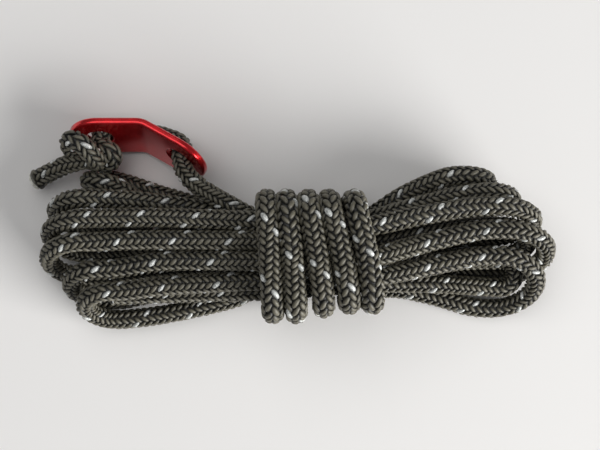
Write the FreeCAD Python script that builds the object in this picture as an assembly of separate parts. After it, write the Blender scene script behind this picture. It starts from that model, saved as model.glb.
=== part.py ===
import FreeCAD, Part

import math
import os

# A hank of reflective tent guy line: 4 mm braided cord folded into seven long
# loops, bound round the middle by five frapping turns of the same cord, with a
# bent two-hole metal runner knotted on its near end.
# Millimetres. X runs along the hank, Y across it, Z up from the table.
# The origin is on the table, under the middle one of the five frapping turns.

V = FreeCAD.Vector

# The cord
cord_diameter = 4.0        # over the braided cover
core_diameter = 2.4        # bundle of straight yarns inside the cover
melted_cap = 0.7           # length of the heat-sealed end
flat_depth = 0.5           # how far the cord is pressed flat on the table
cord_radius = cord_diameter / 2
resting_height = cord_radius - flat_depth

# How the strands pack
loop_count = 7
packed_gap = 0.62          # clear space between strands inside the frapping
fanned_gap = 0.88          # clear space between strands of the open loops
low_fan_gap = 1.45         # the lower strands on the right spread the most
middle_space = 0.3         # extra space between the upper and the lower runs
packed_step = 2.32         # sideways step from one loop to the next, at the waist
packed_pitch = cord_diameter + packed_gap
fanned_pitch = cord_diameter + fanned_gap
low_fan_pitch = cord_diameter + low_fan_gap

# Frapping: five turns that bind the waist
frapping_turns = 5
frapping_step = 4.6        # advance along the hank for each turn
frapping_gap = 0.5         # clear space between the turns and what they bind
waist_x = frapping_step / 2    # the visible tops of the turns centre here
waist_half = 9.5           # half of the length where the strands lie parallel
corner_radius = cord_diameter + frapping_gap
frapping_entry = 10.8      # run over the table to the foot of the first turn
frapping_entry_lift = 1.1  # height of that run above the resting cord
frapping_climb = 1.5       # where the first turn stands upright, above the corner
frapping_exit = 9.5        # run from the last turn to the free end
frapping_exit_lift = 6.0   # height of that run above the corner
frapping_exit_inset = 0.2

# The open ends of the loops: where the runs reach, measured from the waist
right_first_y = 15.8
right_upper_step = 2.9
right_lower_step = 4.4
right_top = 17.4
right_reach = 45.0
right_reach_fall = 7.0
right_longest = 4.6        # counted in loops, the one that reaches furthest
left_first_y = 14.8
left_upper_step = 4.4
left_lower_step = 5.6
left_top = 15.0
left_reach = 54.6
left_reach_fall = 7.0
left_longest = 2.4
left_span = 2.6
flare_parts = 3            # biarcs in each fanned stretch

# The lead, from the waist to the runner. It leaves the first strand of the waist
# with a short turn outward, and its way-points are measured from its two ends.
lead_turn_in = 1.5
lead_root_offset = V(-7.5, 2.44, -0.86)
lead_way = V(-0.93, 0.40, -0.12)     # direction in which it leaves the waist
lead_bend_offset = V(2.3, -5.13, 5.38)
lead_bend_way = V(-0.56, 0.62, -0.55)
entry_way = V(0.20, 0.88, -0.43)     # direction in which it enters the runner's hole
lead_straight = 1.3                  # straight cord in front of that hole

# The free end, inside the last loop on the left
free_end_inside = 6.7      # short of that loop's far point
free_end_beside = 1.0      # beside the strand above it
free_end_below = 4.75
free_end_straight = 5.5    # straight run where it leaves the last turn
free_end_bow = 0.4         # how far it bows away from a straight line after that

# The runner: a bent strip with two holes, standing on its long edge
runner_arm = 15.0          # from the bend to each rounded tip
runner_width = 12.5
runner_thickness = 1.5
runner_bend = 31.5         # degrees
runner_bend_radius = 4.0   # at the middle of the thickness
runner_lean = 25.0         # degrees from upright
runner_edge_round = 0.5
runner_above_table = 0.3
hole_diameter = 5.4
hole_to_tip = 6.2
hole_edge_round = 0.3
runner_inward = 19.1       # its bend, measured in from the longest left loop
runner_beside = 9.5        # and out from the first left loop
loop_turn_radius = 3.4     # where the cord turns round the edge of a hole
loop_standoff = 0.2        # straight cord behind the hole before it turns


def unit(vector):
    return vector / vector.Length


# Curves
def arc_edge(start, way, end):
    """Arc from start, leaving along way, to end, or a line where it is straight."""
    chord = end - start
    along = unit(chord)
    across = way - along * way.dot(along)
    if across.Length < 1e-6:
        return Part.LineSegment(start, end).toShape()
    half_turn = math.acos(max(-1.0, min(1.0, way.dot(along))))
    rise = chord.Length / 2 * math.tan(half_turn / 2)
    middle = (start + end) / 2 + unit(across) * rise
    return Part.Arc(start, middle, end).toShape()


def biarc(start, start_way, end, end_way):
    """Two tangent arcs that join two points, each with its own direction."""
    chord = end - start
    ways = start_way + end_way
    turn = 2 * (1 - start_way.dot(end_way))
    pull = chord.dot(ways)
    if turn < 1e-9:
        reach = chord.dot(chord) / (4 * chord.dot(end_way))
    else:
        reach = (math.sqrt(pull * pull + turn * chord.dot(chord)) - pull) / turn
    meeting = (start + end + (start_way - end_way) * reach) / 2
    if (meeting - start).Length < 1e-6 or (meeting - end).Length < 1e-6:
        return [arc_edge(start, start_way, end)]
    first = arc_edge(start, start_way, meeting)
    back = arc_edge(end, end_way * -1, meeting)
    last = Part.Edge(back.Curve.toShape(back.FirstParameter, back.LastParameter))
    last.reverse()
    return [first, last]


def biarc_path(stations):
    """Edges through a list of (point, direction), two arcs from each to the next."""
    edges = []
    for (start, start_way), (end, end_way) in zip(stations, stations[1:]):
        edges += biarc(start, unit(start_way), end, unit(end_way))
    return edges


def cord_path(points, radii=None):
    """Straight runs joined by tangent arcs, for cord that lies free."""
    edges = []
    used = []
    here = points[0]
    for number in range(1, len(points) - 1):
        corner = points[number]
        before = corner - points[number - 1]
        after = points[number + 1] - corner
        way_in = unit(before)
        way_out = unit(after)
        half_turn = math.acos(max(-1.0, min(1.0, way_in.dot(way_out)))) / 2
        radius = 0.45 * min(before.Length, after.Length) / math.tan(half_turn)
        if radii and radii[number - 1]:
            radius = radii[number - 1]
        cut = radius * math.tan(half_turn)
        arc_start = corner - way_in * cut
        arc_end = corner + way_out * cut
        edges.append(Part.LineSegment(here, arc_start).toShape())
        edges.append(arc_edge(arc_start, way_in, arc_end))
        here = arc_end
        used.append(radius)
    edges.append(Part.LineSegment(here, points[-1]).toShape())
    return edges, used


def tube(edges, start, way, diameter):
    """Solid round cord swept along the edges."""
    path = Part.Wire(edges)
    ring = Part.Wire(Part.Circle(start, way, diameter / 2).toShape())
    shell = Part.BRepOffsetAPI.MakePipeShell(path)
    shell.add(ring)
    shell.build()
    shell.makeSolid()
    solid = shell.shape()
    if solid.Volume < 0:
        solid.reverse()
    return solid


def length_of(edges):
    return sum(edge.Length for edge in edges)


def points_along(edges, spacing=0.8):
    """(distance, point) pairs along the edges."""
    found = []
    done = 0.0
    for edge in edges:
        count = max(2, int(edge.Length / spacing) + 1)
        steps = edge.discretize(count)
        if edge.Orientation == "Reversed" and found:
            if (steps[0] - found[-1][1]).Length > (steps[-1] - found[-1][1]).Length:
                steps = steps[::-1]
        for number, point in enumerate(steps[:-1]):
            found.append((done + edge.Length * number / (count - 1), point))
        done += edge.Length
    return found


def least_gap(edges, skip):
    """Least clear space between the cord and itself, skipping what lies next along it."""
    samples = points_along(edges)
    cell = cord_diameter * 1.5
    table = {}
    for order, (distance, point) in enumerate(samples):
        key = (int(point.x // cell), int(point.y // cell), int(point.z // cell))
        table.setdefault(key, []).append(order)
    least = 1e9
    for (i, j, k), members in table.items():
        near = []
        for di in (-1, 0, 1):
            for dj in (-1, 0, 1):
                for dk in (-1, 0, 1):
                    near += table.get((i + di, j + dj, k + dk), [])
        for one in members:
            for other in near:
                if samples[other][0] - samples[one][0] > skip:
                    least = min(least, (samples[one][1] - samples[other][1]).Length)
    return least - cord_diameter


def gap_between(edges, others):
    """Least clear space between two cords, leaving out the place where they join."""
    joint = others[0].Vertexes[0].Point
    other_points = [place for _, place in points_along(others, 1.2)]
    least = 1e9
    for _, point in points_along(edges, 1.2):
        if (point - joint).Length < 2.5 * cord_diameter:
            continue
        for other in other_points:
            least = min(least, (point - other).Length)
    return least - cord_diameter


def least_radius(edges):
    return min([edge.Curve.Radius for edge in edges if hasattr(edge.Curve, "Radius")])


# The hank. Even loops lie in the outer layer and odd loops in the inner one,
# so that each strand stays one pitch from its neighbours while the loops fan out.
def ease(share):
    return share * share * (3 - 2 * share)


def layer_inset(step, pitch):
    """How far the inner layer stands in from the outer one."""
    rest = pitch * pitch - step * step
    return math.sqrt(rest) if rest > 0 else 0.0


waist_inset = layer_inset(packed_step, packed_pitch)
lowest_row = resting_height + cord_diameter + frapping_gap
highest_row = lowest_row + 2 * waist_inset + packed_pitch + middle_space
frapping_half = packed_step * (loop_count // 2) + cord_diameter + frapping_gap
frapping_top = highest_row + cord_diameter + frapping_gap

# Where the first strand of the waist ends on the left, and where the lead begins
first_strand = V(waist_x - waist_half, packed_step * (loop_count // 2), highest_row)
lead_root = first_strand + lead_root_offset

# First lane, step between lanes, height of the outer layer and pitch of each fan
fans = {
    ("right", "upper"): (right_first_y, right_upper_step, right_top, fanned_pitch),
    ("right", "lower"): (right_first_y, right_lower_step, resting_height, low_fan_pitch),
    ("left", "upper"): (left_first_y + left_upper_step, left_upper_step, left_top, fanned_pitch),
    ("left", "lower"): (left_first_y, left_lower_step, resting_height, fanned_pitch),
}


def run_point(loop, side, level, share, shoulder):
    """A point of one run, from the waist (share 0) to its shoulder (share 1)."""
    first, step, outer_height, end_pitch = fans[side, level]
    waist_y = packed_step * (loop_count // 2 - loop)
    waist_height = highest_row if level == "upper" else lowest_row
    start_x = waist_half if side == "right" else -waist_half
    eased = ease(share)
    x = start_x + (shoulder - start_x) * share
    y = waist_y + (first - step * loop - waist_y) * eased
    height = waist_height + (outer_height - waist_height) * eased
    if loop % 2:
        lean = (first - step * loop - waist_y) * 6 * share * (1 - share)
        lean = lean / (shoulder - start_x)
        local_step = packed_step + (step - packed_step) * eased
        pitch = packed_pitch + (end_pitch - packed_pitch) * min(1.0, 2.5 * share)
        inset = layer_inset(local_step / math.hypot(1, lean), pitch)
        height += -inset if level == "upper" else inset
    return V(x + waist_x, y, height)


def run_stations(loop, side, level, shoulder, heading):
    """Stations of one fanned run, in the order in which the cord passes them."""
    stations = []
    tiny = 1e-3
    for number in range(flare_parts + 1):
        share = number / flare_parts
        way = V(1, 0, 0)
        if 0 < number < flare_parts:
            way = (run_point(loop, side, level, share + tiny, shoulder)
                   - run_point(loop, side, level, share - tiny, shoulder))
        if way.x < 0:
            way = way * -1
        stations.append((run_point(loop, side, level, share, shoulder), way * heading))
    outward = 1 if side == "right" else -1
    return stations if outward == heading else stations[::-1]


def right_bend_reach(loop):
    if loop % 2:
        shorter = min(right_bend_reach(loop - 1), right_bend_reach(loop + 1))
        return shorter - layer_inset(right_upper_step, fanned_pitch)
    return right_reach - right_reach_fall * ((right_longest - loop) / right_longest) ** 2


def left_bend_reach(loop):
    reach = left_reach - left_reach_fall * ((loop - left_longest) / left_span) ** 2
    if loop % 2 == 0:
        reach -= 0.8 * layer_inset(left_upper_step, fanned_pitch)
    return -reach


def bend_places(upper, lower, side, reach):
    """Shoulder of a bend and the station at its far point."""
    high = run_point(upper, side, "upper", 1, reach)
    low = run_point(lower, side, "lower", 1, reach)
    across = low - high
    outward = 1 if side == "right" else -1
    shoulder = reach - outward * across.Length / 2
    return shoulder, (high + low) / 2, across


def hank_stations():
    """The whole hank, from the lead's root to the first frapping turn."""
    way = unit(lead_way) * -1
    stations = [
        (lead_root, way),
        (lead_root + way * cord_diameter, way),
        (first_strand + V(lead_turn_in, 0, 0), V(1, 0, 0)),
    ]
    for loop in range(loop_count):
        shoulder, far, across = bend_places(loop, loop, "right", right_bend_reach(loop))
        stations += run_stations(loop, "right", "upper", shoulder, 1)
        stations.append((far, across))
        if loop == loop_count - 1:
            break
        stations += run_stations(loop, "right", "lower", shoulder, -1)
        shoulder, far, across = bend_places(loop + 1, loop, "left", left_bend_reach(loop))
        stations += run_stations(loop, "left", "lower", shoulder, -1)
        stations.append((far, across * -1))
        stations += run_stations(loop + 1, "left", "upper", shoulder, 1)
    # The last return strand lies on the table and runs to the first frapping turn
    last = run_point(loop_count - 1, "right", "lower", 1, shoulder)
    stations.append((last, V(-1, 0, 0)))
    stations.append((frapping_start + V(cord_diameter, 0, 0), V(-1, 0, 0)))
    stations.append((frapping_start, V(-1, 0, 0)))
    return stations


# Frapping turns: a helix over a rounded rectangle, going over the top away from
# the viewer's side and stepping to the left
side_height = frapping_top - resting_height - 2 * corner_radius
side_width = 2 * (frapping_half - corner_radius)
quarter = math.pi * corner_radius / 2
turn_length = 2 * side_height + 2 * side_width + 4 * quarter
advance = frapping_step / turn_length
first_top_x = waist_x + frapping_step * (frapping_turns // 2)
first_side_x = first_top_x + advance * (side_height + quarter + side_width / 2)
last_side_x = first_side_x - advance * frapping_turns * turn_length
frapping_start = V(first_top_x + frapping_entry, -frapping_half,
                   resting_height + frapping_entry_lift)
free_end_start = V(last_side_x - frapping_exit, frapping_exit_inset - frapping_half,
                   resting_height + corner_radius + frapping_exit_lift)


def frapping_stations():
    low = resting_height + corner_radius
    high = frapping_top - corner_radius
    inner = frapping_half - corner_radius
    corners = [
        (side_height, -frapping_half, high, 0, 1),
        (quarter, -inner, frapping_top, 1, 0),
        (side_width, inner, frapping_top, 1, 0),
        (quarter, frapping_half, high, 0, -1),
        (side_height, frapping_half, low, 0, -1),
        (quarter, inner, resting_height, -1, 0),
        (side_width, -inner, resting_height, -1, 0),
        (quarter, -frapping_half, low, 0, 1),
    ]
    stations = [
        (frapping_start, V(-1, 0, 0)),
        (frapping_start - V(cord_diameter, 0, 0), V(-1, 0, 0)),
        (V(first_side_x, -frapping_half, low + frapping_climb), V(-advance, 0, 1)),
    ]
    run = 0.0
    for turn in range(frapping_turns):
        for piece, y, z, way_y, way_z in corners:
            run += piece
            stations.append((V(first_side_x - advance * run, y, z),
                             V(-advance, way_y, way_z)))
    stations.append((free_end_start + V(cord_diameter, 0, 0), V(-1, 0, 0)))
    stations.append((free_end_start, V(-1, 0, 0)))
    return stations


last_loop = loop_count - 2
free_end_stop = run_point(last_loop + 1, "left", "upper", 1, left_bend_reach(last_loop))
free_end_stop = V(left_bend_reach(last_loop) + waist_x + free_end_inside,
                  free_end_stop.y - free_end_beside, free_end_stop.z - free_end_below)
free_end_bend = free_end_start - V(free_end_straight, 0, 0)
free_end_points = [
    free_end_start,
    free_end_bend,
    free_end_bend + (free_end_stop - free_end_bend) / 3 + V(0, -free_end_bow, free_end_bow),
    free_end_bend + (free_end_stop - free_end_bend) / 1.5 + V(0, -free_end_bow, free_end_bow),
    free_end_stop,
]

# Frame of the runner: x along the left arm, front towards the hank, up its width
lean = math.radians(runner_lean)
bend = math.radians(runner_bend)
arm_way = V(1, 0, 0)
front_way = V(0, -math.cos(lean), math.sin(lean))
up_way = V(0, math.sin(lean), math.cos(lean))
right_arm_way = arm_way * math.cos(bend) + front_way * math.sin(bend)
right_front_way = front_way * math.cos(bend) - arm_way * math.sin(bend)
bend_height = (runner_above_table + runner_width / 2 * math.cos(lean)
               + runner_thickness / 2 * math.sin(lean))
bend_place = V(waist_x - left_reach + runner_inward, left_first_y + runner_beside,
               bend_height)
hole_to_bend = runner_arm - hole_to_tip
right_hole = bend_place + right_arm_way * hole_to_bend
left_hole = bend_place - arm_way * hole_to_bend


def from_left_hole(along, front, up):
    return left_hole + arm_way * along + front_way * front + up_way * up


# The lead bends down from the waist and into the right hole from the front
entry = unit(entry_way)
lead_stations = [
    (lead_root, unit(lead_way)),
    (lead_root + unit(lead_way) * cord_diameter, unit(lead_way)),
    (right_hole + lead_bend_offset, unit(lead_bend_way)),
    (right_hole - entry * lead_straight, entry),
    (right_hole, entry),
]


def runner_plate():
    """Bent strip with rounded tips and two rounded holes."""
    half = runner_thickness / 2
    tangent = runner_bend_radius * math.tan(bend / 2)
    tip = V(math.cos(bend), math.sin(bend), 0) * runner_arm
    across = V(-math.sin(bend), math.cos(bend), 0)
    bend_end = V(math.cos(bend), math.sin(bend), 0) * tangent
    centre = V(-tangent, runner_bend_radius, 0)
    middle_way = V(math.sin(bend / 2), -math.cos(bend / 2), 0)
    inner = runner_bend_radius - half
    outer = runner_bend_radius + half
    outline = [
        Part.LineSegment(V(-runner_arm, -half, 0), V(-tangent, -half, 0)).toShape(),
        Part.Arc(V(-tangent, -half, 0), centre + middle_way * outer,
                 bend_end - across * half).toShape(),
        Part.LineSegment(bend_end - across * half, tip - across * half).toShape(),
        Part.LineSegment(tip - across * half, tip + across * half).toShape(),
        Part.LineSegment(tip + across * half, bend_end + across * half).toShape(),
        Part.Arc(bend_end + across * half, centre + middle_way * inner,
                 V(-tangent, half, 0)).toShape(),
        Part.LineSegment(V(-tangent, half, 0), V(-runner_arm, half, 0)).toShape(),
        Part.LineSegment(V(-runner_arm, half, 0), V(-runner_arm, -half, 0)).toShape(),
    ]
    strip = Part.Face(Part.Wire(outline)).extrude(V(0, 0, runner_width))
    strip.translate(V(0, 0, -runner_width / 2))
    round_radius = runner_width / 2
    for turn in (180.0, runner_bend):
        block = Part.makeBox(round_radius + 1, 4 * half, runner_width + 2,
                             V(runner_arm - round_radius, -2 * half, -round_radius - 1))
        block = block.cut(Part.makeCylinder(round_radius, 4 * half,
                                            V(runner_arm - round_radius, -2 * half, 0),
                                            V(0, 1, 0)))
        block.rotate(V(0, 0, 0), V(0, 0, 1), turn)
        strip = strip.cut(block)
    rim = []
    for edge in strip.Edges:
        box = edge.BoundBox
        flat_end = box.ZLength < 1e-6 and abs(abs(box.ZMin) - round_radius) > 1e-3
        upright = box.XLength < 1e-6 and box.YLength < 1e-6
        across_strip = edge.Length < 2 * runner_thickness
        if not flat_end and not upright and not across_strip:
            rim.append(edge)
    strip = strip.makeFillet(runner_edge_round, rim)
    for turn in (180.0, runner_bend):
        hole = Part.makeCylinder(hole_diameter / 2, 4 * half,
                                 V(hole_to_bend, -2 * half, 0), V(0, 1, 0))
        hole.rotate(V(0, 0, 0), V(0, 0, 1), turn)
        strip = strip.cut(hole)
    hole_rims = [edge for edge in strip.Edges
                 if hasattr(edge.Curve, "Radius")
                 and abs(edge.Curve.Radius - hole_diameter / 2) < 1e-6 and edge.isClosed()]
    strip = strip.makeFillet(hole_edge_round, hole_rims)
    place = FreeCAD.Matrix(
        arm_way.x, front_way.x, -up_way.x, bend_place.x,
        arm_way.y, front_way.y, -up_way.y, bend_place.y,
        arm_way.z, front_way.z, -up_way.z, bend_place.z,
        0, 0, 0, 1)
    strip.Placement = FreeCAD.Placement(place)
    return strip


# The stretch of cord that passes behind the runner from hole to hole
def stake_loop_points():
    standoff = runner_thickness / 2 + loop_standoff + loop_turn_radius
    behind = (front_way + right_front_way) * -1
    corner = bend_place + unit(behind) * (standoff / math.cos(bend / 2))
    slant = -entry.dot(right_front_way)
    return [
        right_hole,
        right_hole + entry * (standoff / slant),
        corner,
        left_hole - front_way * standoff,
        left_hole + front_way * (runner_thickness / 2),
    ]


# Stopper knot: an overhand knot drawn tight against the front of the left hole.
# Each row is along the arm, out in front of it, and up its width.
knot_turns = [
    (0.0, runner_thickness / 2, 0.0),
    (0.0, runner_thickness / 2 + cord_radius + 0.1, 0.0),
    (3.2, 4.2, 1.5),
    (3.4, 5.6, -1.6),
    (-0.4, 5.0, -2.8),
    (-3.6, 4.0, -2.0),
    (-6.3, 3.0, 1.0),
    (-5.4, 2.8, 4.0),
    (-3.0, 4.4, 5.0),
    (-0.6, 6.4, 3.2),
    (0.6, 6.2, 0.2),
    (-1.6, 5.0, -0.8),
    (-4.2, 5.2, -1.5),
]


def stopper_knot(tail_solid):
    places = [from_left_hole(*turn) for turn in knot_turns]
    pieces = []
    for start, end in zip(places, places[1:]):
        pieces.append(Part.makeCylinder(cord_radius, (end - start).Length, start, end - start))
    for place in places[1:-1]:
        pieces.append(Part.makeSphere(cord_radius, place))
    knot = pieces[0].fuse(pieces[1:])
    return knot.removeSplitter().cut(tail_solid)


knot_exit = from_left_hole(*knot_turns[-1])
tail_points = [
    knot_exit,
    knot_exit + V(-3.8, -0.76, -1.3),
    knot_exit + V(-8.2, -2.86, -3.2),
]


def sealed_cap(place, way):
    """Heat-sealed end: the cover and the yarns melted into a low round button."""
    cap = Part.makeCylinder(cord_radius, melted_cap, place, way)
    far_rim = [edge for edge in cap.Edges
               if (edge.CenterOfMass - place - unit(way) * melted_cap).Length < 1e-3]
    return cap.makeFillet(melted_cap * 0.6, far_rim[:1])


def write(name, shape):
    if not shape.isValid() or len(shape.Solids) != 1:
        print("check", name, "valid", shape.isValid(), "solids", len(shape.Solids))
    shape.exportStep("parts/" + name + ".step")
    box = shape.BoundBox
    print(name, "volume %.1f" % shape.Volume, "box %.2f %.2f %.2f to %.2f %.2f %.2f" % (
        box.XMin, box.YMin, box.ZMin, box.XMax, box.YMax, box.ZMax))


def cut_flat(shape):
    """Removes what would lie below the table top, and keeps the cord itself."""
    box = shape.BoundBox
    below = Part.makeBox(box.XLength + 2, box.YLength + 2, 5.0,
                         V(box.XMin - 1, box.YMin - 1, -5.0))
    return max(shape.cut(below).Solids, key=lambda piece: piece.Volume)


def free_cord(name, points, radii=None):
    """A solid round stretch of free cord, with its radii and volume printed."""
    edges, used = cord_path(points, radii)
    solid = tube(edges, points[0], points[1] - points[0], cord_diameter)
    expected = math.pi * cord_radius ** 2 * length_of(edges)
    print(name, "length %.1f" % length_of(edges), "radii",
          " ".join("%.1f" % radius for radius in used),
          "volume share %.4f" % (solid.Volume / expected))
    return edges, solid


def wound_cord(name, stations):
    """A solid wound stretch, with its length, least gap and least radius printed."""
    edges = biarc_path(stations)
    solid = tube(edges, stations[0][0], stations[0][1], cord_diameter)
    expected = math.pi * cord_radius ** 2 * length_of(edges)
    print(name, "length %.1f" % length_of(edges),
          "least gap %.2f" % least_gap(edges, 3 * cord_diameter),
          "least radius %.2f" % least_radius(edges),
          "volume share %.4f" % (solid.Volume / expected))
    return edges, solid


def main():
    os.makedirs("parts", exist_ok=True)
    total = 0.0
    hank_edges, hank = wound_cord("hank_loops", hank_stations())
    write("hank_loops", cut_flat(hank))
    turn_edges, turns = wound_cord("frapping_turns", frapping_stations())
    write("frapping_turns", cut_flat(turns))
    total += length_of(hank_edges) + length_of(turn_edges)

    print("frapping to hank, least gap %.2f" % gap_between(hank_edges, turn_edges))

    lead_edges = biarc_path(lead_stations)
    lead = tube(lead_edges, lead_root, lead_way, cord_diameter)
    print("lead to hank, least gap %.2f" % gap_between(hank_edges, lead_edges))
    print("runner_lead length %.1f" % length_of(lead_edges),
          "radii %.1f" % least_radius(lead_edges))
    write("runner_lead", lead)
    loop_radii = [loop_turn_radius, None, loop_turn_radius]
    loop_edges, stake_loop = free_cord("stake_loop", stake_loop_points(), loop_radii)
    write("stake_loop", stake_loop)
    write("runner_plate", runner_plate())
    total += length_of(lead_edges) + length_of(loop_edges)

    for name, points in (("free_end", free_end_points), ("tail", tail_points)):
        edges, solid = free_cord(name, points)
        core = tube(edges, points[0], points[1] - points[0], core_diameter)
        if name == "tail":
            write("stopper_knot", stopper_knot(solid))
        write(name + "_cover", solid.cut(core))
        write(name + "_core", core)
        way = points[-1] - points[-2]
        write(name + "_cap", sealed_cap(points[-1], way))
        total += length_of(edges)
    print("cord without its knot: %.0f mm" % total)


main()
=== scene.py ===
import math

import bpy
import numpy as np
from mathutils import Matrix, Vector


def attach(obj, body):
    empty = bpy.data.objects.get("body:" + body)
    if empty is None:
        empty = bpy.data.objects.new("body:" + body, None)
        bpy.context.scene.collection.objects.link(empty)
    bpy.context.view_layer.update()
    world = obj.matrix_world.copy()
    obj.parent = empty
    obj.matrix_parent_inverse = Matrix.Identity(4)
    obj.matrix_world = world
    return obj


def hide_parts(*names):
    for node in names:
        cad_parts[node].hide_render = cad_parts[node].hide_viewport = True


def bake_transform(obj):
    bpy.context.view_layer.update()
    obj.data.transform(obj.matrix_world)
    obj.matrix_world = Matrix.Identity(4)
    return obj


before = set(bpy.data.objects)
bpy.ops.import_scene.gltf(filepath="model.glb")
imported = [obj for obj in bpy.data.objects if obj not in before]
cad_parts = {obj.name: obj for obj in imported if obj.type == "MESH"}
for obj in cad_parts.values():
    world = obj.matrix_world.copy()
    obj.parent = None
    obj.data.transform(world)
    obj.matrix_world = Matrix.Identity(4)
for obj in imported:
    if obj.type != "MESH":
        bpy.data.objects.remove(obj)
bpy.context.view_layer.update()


# The hank: one unbroken length of 4 mm guy line, folded back and forth into seven
# long loops. Its cover is braided from sixteen flat polyester strands, eight going
# each way round, over two and under two, and one of them is white and reflective.
mm = 0.001
cord_radius = 2.0          # in mm, as is every place in the tables below
right_edge, left_edge = 11.8, -7.2    # where the strands leave the frapped waist
waist_middle = 2.3
half_corner = math.radians(22.5)      # half the turn from one point of a bend to the next

# Each strand's place (y, z) in mm at the edge of the waist, at one and two thirds of
# its run and where its bend begins, as the photograph shows the strands lying
right_upper = [
    [(7.0, 11.2), (11.7, 11.9), (14.6, 12.4), (16.0, 12.4)],
    [(6.8, 15.4), (9.4, 15.4), (11.4, 15.2), (12.6, 14.8)],
    [(5.6, 19.4), (7.6, 18.9), (9.1, 18.3), (9.8, 17.6)],
    [(2.1, 15.8), (4.0, 15.0), (5.5, 13.9), (5.8, 12.6)],
    [(-0.6, 19.4), (2.1, 18.7), (4.4, 17.9), (5.3, 17.2)],
    [(-2.2, 13.3), (-1.6, 10.8), (-1.1, 8.2), (-0.9, 6.1)],
    [(-4.3, 17.8), (-2.7, 16.7), (-0.9, 15.7), (0.1, 14.6)],
]
right_lower = [
    [(6.9, 7.2), (9.2, 5.4), (11.3, 3.5), (12.8, 1.9)],
    [(3.3, 9.9), (5.6, 8.3), (7.7, 6.8), (9.6, 5.4)],
    [(3.0, 5.7), (3.1, 4.4), (3.3, 3.1), (3.6, 1.9)],
    [(-0.7, 9.8), (-0.7, 6.8), (-0.6, 4.2), (-0.4, 1.9)],
    [(-1.2, 5.7), (-2.8, 3.5), (-4.0, 2.3), (-4.4, 1.9)],
    [(-5.4, 9.7), (-5.6, 7.9), (-6.0, 6.3), (-6.6, 5.0)],
    [(-5.0, 3.4), (-7.1, 2.9), (-9.3, 2.3), (-11.0, 1.9)],
]
right_reach = [33.9, 38.3, 42.6, 42.0, 45.3, 39.6, 43.5]
left_upper = [
    [(1.5, 15.0), (3.9, 11.6), (8.2, 9.6), (14.7, 8.6)],
    [(6.6, 10.2), (8.9, 11.8), (10.8, 13.4), (11.4, 13.5)],
    [(6.8, 19.2), (7.3, 18.0), (7.6, 16.7), (7.4, 15.4)],
    [(3.1, 19.4), (3.1, 18.1), (3.2, 16.7), (2.8, 15.3)],
    [(-1.0, 19.4), (-0.8, 17.6), (-0.9, 15.8), (-2.7, 13.4)],
    [(-4.7, 16.1), (-5.2, 15.2), (-5.9, 14.2), (-7.1, 13.0)],
]
left_lower = [
    [(6.2, 6.3), (9.0, 5.2), (12.1, 3.5), (15.5, 1.9)],
    [(2.2, 5.7), (4.2, 4.2), (5.2, 3.0), (5.5, 1.9)],
    [(2.4, 10.2), (2.0, 7.6), (1.2, 4.8), (0.2, 1.9)],
    [(-1.6, 9.8), (-2.3, 7.2), (-3.3, 4.5), (-4.7, 1.9)],
    [(-4.2, 6.6), (-5.7, 4.9), (-7.4, 3.4), (-9.4, 1.9)],
    [(-6.6, 5.0), (-9.7, 4.5), (-12.1, 3.9), (-13.2, 3.4)],
]
left_reach = [46.7, 52.9, 54.0, 54.3, 49.9, 47.0]


def one_loop(side, number):
    """Control points of a loop: out along one run, round the bend, back along the other."""
    right = side == "right"
    edge, outward = (right_edge, 1) if right else (left_edge, -1)
    upper, lower = (right_upper, right_lower) if right else (left_upper, left_lower)
    reach = (right_reach if right else left_reach)[number]
    high, low = (Vector((0, *run[number][3])) for run in (upper, lower))
    radius = (high - low).length / 2
    shoulder = waist_middle + outward * (reach - radius)
    middle = (high + low) / 2 + Vector((shoulder, 0, 0))
    to_high = (high - low) / (2 * radius)
    out = Vector((outward, 0, 0))
    ease = radius * math.tan(half_corner)
    going, coming = (
        [Vector((edge + (shoulder - edge) * part / 3, *run[number][part])) for part in range(3)]
        for run in (upper, lower))
    bend = [middle + to_high * radius - out * ease]
    for corner in (1, 3, 5, 7):
        turn = corner * half_corner
        bend.append(middle + (to_high * math.cos(turn) + out * math.sin(turn))
                    * (radius / math.cos(half_corner)))
    bend.append(middle - to_high * radius - out * ease)
    places = going + bend + coming[::-1]
    return places if right else places[::-1]


# The loops in the order in which the cord makes them, and the places where it crosses
# the middle of the waist between them
loop_order = [("right", 1), ("left", 2), ("right", 2), ("left", 1), ("right", 0), ("left", 0),
              ("right", 3), ("left", 3), ("right", 4), ("left", 4), ("right", 6)]
waist_places = [(6.6, 14.9), (2.9, 10.0), (6.3, 19.3), (2.6, 5.7), (6.9, 10.9), (6.5, 6.7),
                (1.8, 15.4), (-1.1, 9.8), (1.3, 19.4), (-2.7, 6.1), (-2.7, 18.6)]
hank_route = []
for loop, place in zip(loop_order, waist_places):
    hank_route += [Vector((waist_middle, *place))] + one_loop(*loop)
# The last return strand lies on the table and runs up to the first frapping turn
hank_route = hank_route[:-1] + [Vector((16.4, -6.8, 2.5)), Vector((13.4, -7.5, 2.2)),
                                Vector((12.9, -9.6, 2.5))]


line_step = 0.4 * mm       # from one point of a cord's line to the next


def distance_run(line):
    """Distance along the line from its start to each of its points."""
    steps = np.linalg.norm(np.diff(line, axis=0), axis=1)
    return np.concatenate([[0.0], np.cumsum(steps)])


def carried_to(distance, run, known):
    """What is known at the points of a line, carried over to other distances along it."""
    return np.stack([np.interp(distance, run, known[:, axis]) for axis in range(3)], axis=1)


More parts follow.
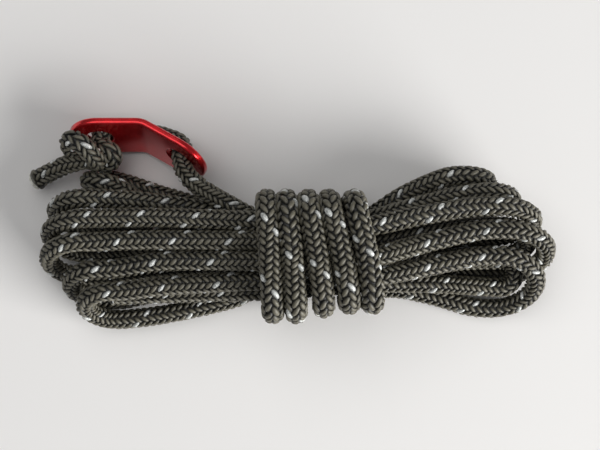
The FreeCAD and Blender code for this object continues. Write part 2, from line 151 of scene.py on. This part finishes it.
def smooth_line(name, places):
    """The cord's smooth line through the air, as evenly spaced points in metres."""
    curve = bpy.data.curves.new(name, "CURVE")
    curve.dimensions = "3D"
    curve.resolution_u = 16
    spline = curve.splines.new("NURBS")
    spline.points.add(len(places) - 1)
    for point, place in zip(spline.points, places):
        point.co = (*(place * mm), 1)
    spline.order_u = 3
    spline.use_endpoint_u = True
    route = bpy.data.objects.new(name, curve)
    bpy.context.scene.collection.objects.link(route)
    drawn = bpy.data.meshes.new_from_object(
        route.evaluated_get(bpy.context.evaluated_depsgraph_get()))
    line = np.array([vertex.co for vertex in drawn.vertices])
    bpy.data.meshes.remove(drawn)
    bpy.data.objects.remove(route)
    bpy.data.curves.remove(curve)
    run = distance_run(line)
    even = np.linspace(0, run[-1], int(run[-1] / line_step) + 1)
    return carried_to(even, run, line)


def frames_along(line, first_side):
    """Distance run, and two directions square to the line that never twist about it."""
    way = np.gradient(line, axis=0)
    way /= np.linalg.norm(way, axis=1)[:, None]
    side = np.array(first_side, float)
    sides = []
    for ahead in way:
        side = side - ahead * (side @ ahead)
        side /= np.linalg.norm(side)
        sides.append(side)
    sides = np.array(sides)
    return distance_run(line), sides, np.cross(way, sides)


strands = 16
lay = 11.0 * mm            # length in which a strand goes once round the cord
crossing = lay / strands   # from one crossing of two strands to the next
crossing_turn = math.radians(360 / strands)
over_and_under = 4         # crossings from one visible stretch of a strand to its next
# A visible stretch, called a float: its half length in crossings, its size, and the
# places along and across it where its surface has corners
float_reach = 1.07
float_half_width = 0.53 * mm
float_taper = 0.46         # share of its width that it loses towards its ends
float_crown = 2.05 * mm    # from the cord's middle to its top
float_side = 1.60 * mm     # from the cord's middle to its edges
float_dive = 0.36 * mm     # how far its ends go down under the next strand
float_stations = (-1.0, -0.72, -0.36, 0.0, 0.36, 0.72, 1.0)
float_across = (-1.0, -0.32, 0.32, 1.0)
end_margin = 0.2 * mm      # no strand comes up this close to the cord's end
# The tube of yarns under the strands, coloured near black as painted shade in the gaps between
# them: the radius of their bed, its sides, the points of the line that it passes over, and how dark
# its painted shade lies
yarn_bed = 1.55 * mm
bed_sides = 10
bed_step = 3
bed_painted_shade = -0.3


def braid_floats(line, sides, uprights, run, handed, roll, slide, lays_before, seed,
                 fullness):
    """Corners of every visible stretch of the strands that go round one way."""
    chance = np.random.default_rng(seed)
    total = run[-1]
    first = int(lays_before / lay) - 2
    rows = []
    for number in range(first, first + int(total / lay) + 5):
        for column in range(strands // over_and_under):
            for strand in range(strands // 2):
                place = over_and_under * column + (0.5 if handed > 0 else 1.5)
                rows.append(((place - 2 * strand) * crossing + number * lay - lays_before,
                             handed * place * crossing_turn, strand))
    rows = np.array(rows)
    rows[:, 0] = np.interp(rows[:, 0], run - slide, run)
    rows = rows[(rows[:, 0] > end_margin) & (rows[:, 0] < total - end_margin)]
    count = len(rows)
    along = np.array(float_stations)[None, :, None]
    across = np.array(float_across)[None, None, :]
    jitter = chance.normal(0, 1, (4, count))[:, :, None, None]
    width = (fullness * float_half_width * (1 + 0.06 * jitter[0])
             * (1 - float_taper * np.abs(along) ** 3.5))
    slant = math.atan2(cord_radius * mm * crossing_turn, crossing)
    reach = float_reach * (1 + 0.03 * jitter[1])
    distance = (rows[:, 0][:, None, None] + 0.035 * mm * jitter[2]
                + along * reach * crossing
                - handed * across * width * math.sin(slant))
    angle = (rows[:, 1][:, None, None]
             + handed * along * reach * crossing_turn
             + across * width * math.cos(slant) / (cord_radius * mm))
    height = (float_crown + 0.022 * mm * jitter[3]
              - (float_crown - float_side) * across ** 2
              - float_dive * np.abs(along) ** 2.6)
    distance = np.clip(distance, 0, total).ravel()
    angle = angle.ravel() + np.interp(distance, run, roll)
    middle, side, upright = (carried_to(distance, run, known)
                             for known in (line, sides, uprights))
    out = side * np.cos(angle)[:, None] + upright * np.sin(angle)[:, None]
    corners = middle + out * fullness * height.ravel()[:, None]
    # Painted shade in the valleys between the floats: 1 on the crown, 0 at the edges, little at the
    # ends, which darkens the colour there
    painted_valley_shade = (1 - across ** 2) * (1 - 0.95 * np.abs(along) ** 2.4)
    return rows, corners, chance.uniform(0, 1, count), np.tile(painted_valley_shade.ravel(), count)


def bed_tube(line, sides, uprights, fullness, first_corner):
    """Corners and faces of the tube under the strands that shows between them, coloured near black
    as painted shade.
    """
    picked = np.arange(0, len(line), bed_step)
    if picked[-1] != len(line) - 1:
        picked = np.append(picked, len(line) - 1)
    turn = np.arange(bed_sides) * 2 * math.pi / bed_sides
    rings = (line[picked][:, None] + fullness * yarn_bed * (
        sides[picked][:, None] * np.cos(turn)[None, :, None]
        + uprights[picked][:, None] * np.sin(turn)[None, :, None]))
    faces = []
    for ring in range(len(picked) - 1):
        base = first_corner + ring * bed_sides
        for step in range(bed_sides):
            after = (step + 1) % bed_sides
            faces.append((base + step, base + after,
                          base + after + bed_sides, base + step + bed_sides))
    last_ring = first_corner + (len(picked) - 1) * bed_sides
    faces.append(tuple(first_corner + step for step in reversed(range(bed_sides))))
    faces.append(tuple(last_ring + step for step in range(bed_sides)))
    return rings.reshape(-1, 3), faces


def float_faces():
    """The faces of one closed float, by its own corners."""
    wide, long = len(float_across), len(float_stations)
    faces = []
    for row in range(long - 1):
        a = wide * row
        faces += [(a, a + 1, a + 5, a + 4), (a + 1, a + 2, a + 6, a + 5),
                  (a + 2, a + 3, a + 7, a + 6), (a + 3, a, a + 4, a + 7)]
    last = wide * (long - 1)
    return faces + [(0, 3, 2, 1), (last, last + 1, last + 2, last + 3)]


def braided_cord(name, line, handed, turned, lays_before, seed, fullness):
    """One mesh of the strands that go round the cord one way, each float a closed lump.

    The strands of hand -1 bring the bed under the strands, near black as painted shade in the
    gaps, and the white tracer. A fullness above 1 makes the whole cord thicker.
    """
    run, sides, uprights = frames_along(line, (0.2, 0.3, 1.0))
    places, turns, slides = np.array(turned, float).T
    roll = np.interp(run, places * mm, np.radians(turns))
    slide = np.interp(run, places * mm, slides * mm)
    rows, corners, shade, painted_valley_shade = braid_floats(line, sides, uprights, run, handed, roll,
                                               slide, lays_before, seed, fullness)
    pattern = float_faces()
    float_size = len(float_across) * len(float_stations)
    faces = []
    tracer = []
    for number in range(len(rows)):
        base = float_size * number
        faces += [tuple(base + corner for corner in face) for face in pattern]
        white = handed < 0 and rows[number][2] == tracer_strand
        tracer += [1 if white else 0] * len(pattern)
    shades = np.repeat(shade, float_size).tolist()
    painted_valley_shade = painted_valley_shade.tolist()
    if handed < 0:
        rings, bed_faces = bed_tube(line, sides, uprights, fullness, len(corners))
        corners = np.concatenate([corners, rings])
        faces += bed_faces
        # The bed gets no tone and a value below the ramp's start: painted shade, near black, in the
        # gaps between the floats
        shades += [0.0] * len(rings)
        painted_valley_shade += [bed_painted_shade] * len(rings)
        tracer += [0] * len(bed_faces)
    mesh = bpy.data.meshes.new(name)
    mesh.from_pydata(corners.tolist(), [], faces)
    for material in cord_finish:
        mesh.materials.append(material)
    mesh.polygons.foreach_set("material_index", tracer)
    mesh.polygons.foreach_set("use_smooth", [True] * len(faces))
    mesh.attributes.new("shade", "FLOAT", "POINT").data.foreach_set("value", shades)
    mesh.attributes.new("painted_valley_shade", "FLOAT", "POINT").data.foreach_set("value", painted_valley_shade)
    mesh.update()
    piece = bpy.data.objects.new(name, mesh)
    bpy.context.scene.collection.objects.link(piece)
    return piece


def both_hands(name, line, turned, lays_before, seed, fullness=1.0):
    """The two meshes of a cord: the strands of one hand, and those that go against them."""
    return (braided_cord(name, line, -1, turned, lays_before, seed, fullness),
            braided_cord(name + "_counter_strands", line, 1, turned, lays_before, seed + 1,
                         fullness))


def fresh_material(name):
    """A new material with its nodes, its links and its surface."""
    material = bpy.data.materials.new(name)
    material.use_nodes = True
    nodes, links = material.node_tree.nodes, material.node_tree.links
    return material, nodes, links, nodes["Principled BSDF"]


def unevenness(nodes, links, scale, detail):
    """Fine noise that stays in place on the piece."""
    place = nodes.new("ShaderNodeTexCoord")
    noise = nodes.new("ShaderNodeTexNoise")
    noise.inputs["Scale"].default_value = scale
    noise.inputs["Detail"].default_value = detail
    links.new(place.outputs["Object"], noise.inputs["Vector"])
    return noise.outputs["Fac"]


def colour_by(nodes, links, driver, surface, dark_at, dark, light_at, light):
    """Colours the surface from dark to light as the driver rises from one value to the other."""
    tint = nodes.new("ShaderNodeValToRGB")
    tint.color_ramp.elements[0].position = dark_at
    tint.color_ramp.elements[0].color = dark
    tint.color_ramp.elements[1].position = light_at
    tint.color_ramp.elements[1].color = light
    links.new(driver, tint.inputs["Fac"])
    links.new(tint.outputs["Color"], surface.inputs["Base Color"])
    return tint.color_ramp


def roughness_by(nodes, links, driver, surface, least, most):
    """Makes the surface rougher as the driver rises."""
    rough = nodes.new("ShaderNodeMapRange")
    rough.inputs["To Min"].default_value = least
    rough.inputs["To Max"].default_value = most
    links.new(driver, rough.inputs["Value"])
    links.new(rough.outputs["Result"], surface.inputs["Roughness"])


def relief_by(nodes, links, driver, surface, strength, distance):
    """Gives the surface a fine relief that follows the driver."""
    bump = nodes.new("ShaderNodeBump")
    bump.inputs["Strength"].default_value = strength
    bump.inputs["Distance"].default_value = distance
    links.new(driver, bump.inputs["Height"])
    links.new(bump.outputs["Normal"], surface.inputs["Normal"])


def added_up(nodes, links, driver, share, other):
    """A share of one driver added to another."""
    total = nodes.new("ShaderNodeMath")
    total.operation = "MULTIPLY_ADD"
    total.inputs[1].default_value = share
    links.new(driver, total.inputs[0])
    links.new(other, total.inputs[2])
    return total.outputs[0]


def cover_material():
    """Dark olive polyester strands, a little glossy, each a slightly different shade, with painted
    shade that darkens each float towards its edges and ends and the bed between them to near black.
    """
    material, nodes, links, surface = fresh_material("cord_cover_olive")
    surface.inputs["Sheen Weight"].default_value = 0.04
    surface.inputs["Sheen Roughness"].default_value = 0.4
    surface.inputs["Sheen Tint"].default_value = (0.75, 0.74, 0.66, 1)
    surface.inputs["Specular IOR Level"].default_value = 0.6
    shade = nodes.new("ShaderNodeAttribute")
    shade.attribute_name = "shade"
    painted_valley_shade = nodes.new("ShaderNodeAttribute")
    painted_valley_shade.attribute_name = "painted_valley_shade"
    fibres = unevenness(nodes, links, 2600, 3)
    # Painted shade: the colour darkens towards each float's edges and ends, and the bed under the
    # strands falls below the ramp's start, near black
    tone_and_painted_shade = added_up(nodes, links, shade.outputs["Fac"], 0.22, painted_valley_shade.outputs["Fac"])
    mixed = added_up(nodes, links, fibres, 0.35, tone_and_painted_shade)
    ramp = colour_by(nodes, links, mixed, surface, 0.05, (0.003, 0.003, 0.0028, 1),
                     1.0, (0.114, 0.104, 0.074, 1))
    ramp.elements.new(0.45).color = (0.0105, 0.010, 0.008, 1)
    roughness_by(nodes, links, fibres, surface, 0.44, 0.60)
    relief_by(nodes, links, fibres, surface, 0.35, 0.00008)
    return material


def tracer_material():
    """White reflective strand, a flat metallised tape with fine glass beads."""
    material, nodes, links, surface = fresh_material("reflective_tracer")
    surface.inputs["Specular IOR Level"].default_value = 0.7
    surface.inputs["Coat Weight"].default_value = 0.3
    beads = unevenness(nodes, links, 3200, 2)
    colour_by(nodes, links, beads, surface, 0.3, (0.30, 0.31, 0.29, 1),
              0.65, (0.66, 0.67, 0.64, 1))
    roughness_by(nodes, links, beads, surface, 0.3, 0.5)
    relief_by(nodes, links, beads, surface, 0.2, 0.00005)
    return material


cord_finish = [cover_material(), tracer_material()]
tracer_strand = 3          # which of the eight strands of hand -1 is the white one

# Where the white tracer comes up: distance along the cord in mm, then the cord's turn
# in degrees and the slide of its braid in mm there, as read off the photo
hank_turned = [(0, 0, 0), (154, -50, -2.6), (167, -50, -2.8), (189, -34, -3.2), (214, -36, 0.2),
               (223, -62, 0.8), (235, -62, 1.3), (370, -34, 1.4), (381, -28, 1.6), (430, -30, 6.4),
               (440, -22, 5.8), (546, 40, 9.7), (752, -10, 10.2), (764, -33, 10.4),
               (786, -31, 10.5), (824, -37, 5.2), (836, -30, 6.2), (970, -50, 7.8), (982, -42, 8.8),
               (994, -35, 9.4), (1036, -46, 7.8), (1047, -42, 8.0), (1080, -8, 10.9)]
hank_line = smooth_line("hank_route", hank_route)
hank_length = len(hank_line) * line_step
hank_cord, hank_counter = both_hands("hank_cord", hank_line, hank_turned, 0.0, 11)
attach(hank_cord, "hank")
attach(hank_counter, "hank")
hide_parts("hank_loops")


# The frapping: the same cord goes on and binds the waist with five turns, each over
# the top and back underneath, leaning a little to the left on its way over.
frapping_side = 11.0
turn_bottom, turn_top = 2.25, 23.41
corner_radius = 4.5
# For each turn, where it rises in front, lies on top, falls behind and passes below
frapping_turns = [(12.6, 11.5, 8.9, 8.2), (8.1, 6.6, 3.9, 3.6), (3.1, 1.9, -0.1, -1.2),
                  (-2.3, -3.0, -4.3, -5.3), (-6.8, -7.3, -8.2, -9.4)]
# How far out each turn stands in front of the waist
front_sides = [9.2, 9.2, 9.9, 11.0, 11.0]
turn_middle = (turn_bottom + turn_top) / 2
flat_side = (turn_top - turn_bottom) / 2 - corner_radius
flat_top = frapping_side - corner_radius
ease = corner_radius * math.tan(half_corner)
# Share of a turn's sideways step that it makes before a corner, and in the corner
early_share, corner_share = 0.07, 0.2


def between(here, there, share):
    """The place that lies a share of the way from here to there."""
    return (1 - share) * here + share * there


frapping_route = [hank_route[-1]]
for number, (front, over, back, below) in enumerate(frapping_turns):
    near = front_sides[number]
    near_flat = near - corner_radius
    if number == 0:
        frapping_route.append(Vector((front, -near - 0.5, 4.0)))
    else:
        frapping_route += [
            Vector((between(front, last_below, corner_share), -near_flat - ease, turn_bottom)),
            Vector((front, -near, turn_middle - flat_side - ease))]
    frapping_route += [
        Vector((front, -near, turn_middle)),
        Vector((between(front, over, early_share), -near, turn_middle + flat_side + ease)),
        Vector((between(front, over, corner_share), -near_flat - ease, turn_top)),
        Vector((over, 0, turn_top)),
        Vector((between(back, over, corner_share), flat_top + ease, turn_top)),
        Vector((between(back, over, early_share), frapping_side,
                turn_middle + flat_side + ease)),
        Vector((back, frapping_side, turn_middle)),
        Vector((back, frapping_side, turn_middle - flat_side - ease)),
        Vector((between(back, below, corner_share), flat_top + ease, turn_bottom)),
        Vector((below, 0, turn_bottom))]
    last_below = below
frapping_route[-1] = Vector((-9.4, -1.0, 1.8))

frapping_turned = [(16, -32, -1.5), (29, 14, 0.3), (32, 28, 0.7), (42, 8, 1.7), (98, 44, 2.7),
                   (101, 58, 2.5), (109, 80, 3.3), (112, 96, 3.0), (176, 82, 4.0), (178, 96, 3.8),
                   (187, 102, 4.3), (190, 116, 4.4), (256, 206, 3.9), (258, 222, 3.7),
                   (273, 230, 6.1), (329, 276, 8.7), (341, 312, 9.1), (343, 330, 9.1)]
frapping_line = smooth_line("frapping_route", frapping_route)
# The turns are pressed flat and look wider than the loops
frapping_fullness = 1.13
frapping_cord, frapping_counter = both_hands("frapping_cord", frapping_line, frapping_turned,
                                             hank_length, 21, frapping_fullness)
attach(frapping_cord, "hank")
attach(frapping_counter, "hank")
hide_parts("frapping_turns")
frapping_length = len(frapping_line) * line_step


# The last loop: from the frapping the cord makes one more loop each way, comes back
# through the waist, and its free end lies inside the lowest bend on the left.
last_route = [frapping_route[-1], Vector((-10.4, -5.4, 2.0)), Vector((-12.9, -8.3, 3.2))]
last_route += one_loop("left", 5)[1:]
last_route += [Vector((waist_middle, -3.5, 14.6))]
last_route += one_loop("right", 5)
last_route += [
    Vector((waist_middle, -6.2, 11.2)), Vector((-7.2, -7.0, 12.7)), Vector((-12.1, -7.1, 12.2)),
    Vector((-17.1, -7.2, 11.8)), Vector((-22.5, -7.4, 11.2)), Vector((-28.1, -7.6, 10.6)),
    Vector((-33.8, -7.8, 9.9)), Vector((-38.9, -8.0, 9.3)),
]
last_turned = [(34, 62, 4.5), (52, 20, 3.6), (64, 14, 3.7), (74, 20, 3.6), (144, 52, 6.7),
               (154, 62, 5.3), (199, 19, 6.8)]
last_line = smooth_line("last_route", last_route)
last_cord, last_counter = both_hands("last_loop_cord", last_line, last_turned,
                                     hank_length + frapping_length, 51)
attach(last_cord, "hank")
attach(last_counter, "hank")
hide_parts("free_end_cover")


def fused_end(name, middle, way, radius, half_depth, material):
    """A lens of polyester melted together over the cord's cut end, a little uneven."""
    bpy.ops.object.select_all(action="DESELECT")
    bpy.ops.mesh.primitive_uv_sphere_add(segments=40, ring_count=20, radius=radius)
    lens = bpy.context.object
    lens.name = name
    lens.scale.z = half_depth / radius
    lens.rotation_euler = way.to_track_quat("Z", "Y").to_euler()
    lens.location = middle
    bpy.ops.object.transform_apply(location=True, rotation=True, scale=True)
    lumps = bpy.data.textures.new(name, "CLOUDS")
    lumps.noise_scale = 1.3 * mm
    uneven = lens.modifiers.new("uneven", "DISPLACE")
    uneven.texture = lumps
    uneven.texture_coords = "GLOBAL"
    uneven.strength = 0.5 * mm
    uneven.mid_level = 0.5
    bpy.ops.object.modifier_apply(modifier="uneven")
    bpy.ops.object.shade_smooth()
    lens.data.materials.append(material)
    return lens


def melted_material(name, dark, light, gloss):
    """Melted polyester: smooth and glossy, its colour clouded where it has run."""
    material, nodes, links, surface = fresh_material(name)
    surface.inputs["Specular IOR Level"].default_value = 0.6
    clouds = unevenness(nodes, links, 900, 4)
    colour_by(nodes, links, clouds, surface, 0.35, dark, 0.68, light)
    roughness_by(nodes, links, clouds, surface, gloss, gloss + 0.18)
    return material


melted_cover = melted_material("melted_cover", (0.010, 0.010, 0.008, 1),
                               (0.16, 0.15, 0.12, 1), 0.22)
melted_core = melted_material("melted_core", (0.45, 0.44, 0.37, 1), (0.80, 0.79, 0.72, 1), 0.3)
free_tip = last_route[-1] * mm
free_way = (last_route[-1] - last_route[-2]).normalized()
free_end_melted = fused_end("free_end_melted", free_tip + free_way * 0.1 * mm, free_way,
                            2.12 * mm, 0.8 * mm, melted_cover)
free_end_fused_core = fused_end("free_end_fused_core", free_tip + free_way * 0.45 * mm, free_way,
                                1.2 * mm, 0.62 * mm, melted_core)
for piece, node, slot in ((free_end_melted, "free_end_cap", "melted_end"),
                          (free_end_fused_core, "free_end_core", "cord_core")):
    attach(piece, "hank")
    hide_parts(node)


# The lead: the near end of the same cord comes out from under the frapping and runs
# down through the right hole of the runner.
right_hole = Vector((-25.697, 20.133, 8.224))
lead_route = [
    Vector((2.3, 6.6, 14.9)), Vector((-7.2, 6.4, 14.5)), Vector((-11.8, 8.0, 14.8)),
    Vector((-14.8, 9.7, 15.0)), Vector((-17.9, 11.4, 14.6)), Vector((-21.0, 13.3, 13.5)),
    Vector((-23.6, 15.3, 12.0)), Vector((-25.1, 17.5, 10.2)), right_hole,
]
lead_turned = [(20, 44, -1.2), (27, 35, -3.0)]
lead_line = smooth_line("lead_route", lead_route)
lead_cord, lead_counter = both_hands("lead_cord", lead_line, lead_turned, 0.0, 31)
for piece in (lead_cord, lead_counter):
    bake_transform(piece)
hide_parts("runner_lead")


# The runner: a strip of aluminium bent in the middle, with rounded tips, two holes
# with rounded rims, and a bright red anodised finish.
def anodised_material():
    """Glossy red anodised aluminium, slightly uneven where it was tumbled smooth."""
    material, nodes, links, surface = fresh_material("red_anodised_aluminium")
    surface.inputs["Metallic"].default_value = 0.85
    surface.inputs["Coat Weight"].default_value = 0.7
    surface.inputs["Coat Roughness"].default_value = 0.08
    grain = unevenness(nodes, links, 420, 6)
    colour_by(nodes, links, grain, surface, 0.3, (0.58, 0.008, 0.012, 1),
              0.7, (0.76, 0.014, 0.020, 1))
    roughness_by(nodes, links, grain, surface, 0.18, 0.30)
    relief_by(nodes, links, grain, surface, 0.08, 0.00005)
    return material


runner_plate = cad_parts["runner_plate"]
runner_plate.data.materials.clear()
runner_plate.data.materials.append(anodised_material())


# The runner's cord: behind the runner it spans from hole to hole as the stake loop,
# comes forward through the left hole, and ends in a tight overhand stopper knot with
# a short tail.
left_hole = Vector((-42.0, 24.3, 6.281))
arm_way = Vector((1, 0, 0))
front_way = Vector((0, -0.9063, 0.4226))
up_way = Vector((0, 0.4226, 0.9063))
right_arm_way = Vector((0.8526, -0.4735, 0.2208))
right_front_way = Vector((-0.5225, -0.7727, 0.3603))
# Places along an arm of the runner, out in front of it and up its width
behind_right = [(0.0, 0.0, 0.0), (-0.3, -1.7, -0.3), (-1.6, -2.75, -0.8), (-4.0, -2.75, -1.4),
                (-6.4, -2.75, -2.4)]
behind_left = [(7.2, -2.8, -3.2), (4.6, -2.75, -3.5), (2.4, -2.7, -3.2), (0.7, -2.3, -1.7),
               (0.1, -0.9, -0.3), (0.0, 0.75, 0.0)]
knot_turns = [
    (0.0, 2.7, 0.0), (2.6, 4.1, 1.4), (2.8, 5.6, -1.6), (-0.6, 5.0, -2.8),
    (-3.6, 4.0, -2.0), (-6.3, 3.0, 1.0), (-5.4, 2.8, 4.0), (-3.0, 4.4, 5.0), (-0.9, 6.4, 3.2),
    (0.2, 6.3, 0.2), (-1.8, 5.0, -0.8), (-4.4, 5.2, -1.5),
]
runner_cord_route = [right_hole + right_arm_way * along + right_front_way * front + up_way * up
                     for along, front, up in behind_right]
runner_cord_route += [left_hole + arm_way * along + front_way * front + up_way * up
                      for along, front, up in behind_left + knot_turns]
knot_exit = runner_cord_route[-1]
runner_cord_route += [knot_exit + Vector((-4.0, -1.1, -1.3)),
                      knot_exit + Vector((-8.6, -3.5, -3.2))]
runner_turned = [(42, -42, -3.0), (49, -16, -2.0), (66, 44, -3.9)]
runner_line = smooth_line("runner_cord_route", runner_cord_route)
# The braid carries on where it stands at the lead's end, so the lead's run comes before
lead_run = 0.034
runner_cord, runner_counter = both_hands("runner_cord", runner_line, runner_turned, lead_run,
                                         41)
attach(runner_cord, "runner")
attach(runner_counter, "runner")
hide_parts("stake_loop", "stopper_knot", "tail_cover")
tail_tip = runner_cord_route[-1] * mm
tail_way = (runner_cord_route[-1] - runner_cord_route[-2]).normalized()
tail_melted = fused_end("tail_melted", tail_tip + tail_way * 0.1 * mm, tail_way, 2.2 * mm,
                        0.60 * mm, melted_cover)
tail_fused_core = fused_end("tail_fused_core", tail_tip + tail_way * 0.7 * mm, tail_way,
                            1.8 * mm, 0.9 * mm, melted_core)
for piece, node, slot in ((tail_melted, "tail_cap", "melted_end"),
                          (tail_fused_core, "tail_core", "cord_core")):
    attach(piece, "runner")
    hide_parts(node)


# The floor: a plain pale table top with a matt finish, large enough that no view
# shows its edge near the hank.
bpy.ops.object.select_all(action="DESELECT")
bpy.ops.mesh.primitive_plane_add(size=4.0, location=(0, 0, 0))
floor = bpy.context.object
floor.name = "floor"
floor_paint = bpy.data.materials.new("pale_table")
floor_paint.use_nodes = True
floor_surface = floor_paint.node_tree.nodes["Principled BSDF"]
floor_surface.inputs["Base Color"].default_value = (0.80, 0.785, 0.765, 1)
floor_surface.inputs["Roughness"].default_value = 0.85
floor_surface.inputs["Specular IOR Level"].default_value = 0.1
floor.data.materials.append(floor_paint)


# The light: pale daylight all round, a wide window low on the right that gives the
# soft shadows on the left, and a weak wide lamp overhead.
world = bpy.data.worlds.new("daylight")
world.use_nodes = True
world.node_tree.nodes["Background"].inputs["Color"].default_value = (0.93, 0.95, 1.0, 1)
world.node_tree.nodes["Background"].inputs["Strength"].default_value = 0.19
bpy.context.scene.world = world


def soft_lamp(name, place, width, watts, aim):
    """A square lamp, soft because it is wide, turned towards its aim."""
    lamp = bpy.data.lights.new(name, "AREA")
    lamp.size = width
    lamp.energy = watts
    stand = bpy.data.objects.new(name, lamp)
    stand.location = place
    stand.rotation_euler = (Vector(aim) - Vector(place)).to_track_quat("-Z", "Y").to_euler()
    bpy.context.scene.collection.objects.link(stand)


soft_lamp("window_lamp", (0.75, -0.45, 0.31), 0.76, 17.5, (0, 0, 0))
soft_lamp("fill_lamp", (-0.25, 0.35, 0.9), 0.9, 3.8, (0, 0, 0))

# The camera: straight above the hank, far enough for the whole of it, as in the
# photograph.
view_camera = bpy.data.cameras.new("camera")
view_camera.lens = 90
view_camera.sensor_width = 36
view_camera.clip_start = 0.01
camera = bpy.data.objects.new("camera", view_camera)
camera.location = (-0.0016, 0.0061, 0.310)
bpy.context.scene.collection.objects.link(camera)
bpy.context.scene.camera = camera
bpy.context.scene.view_settings.view_transform = "Standard"
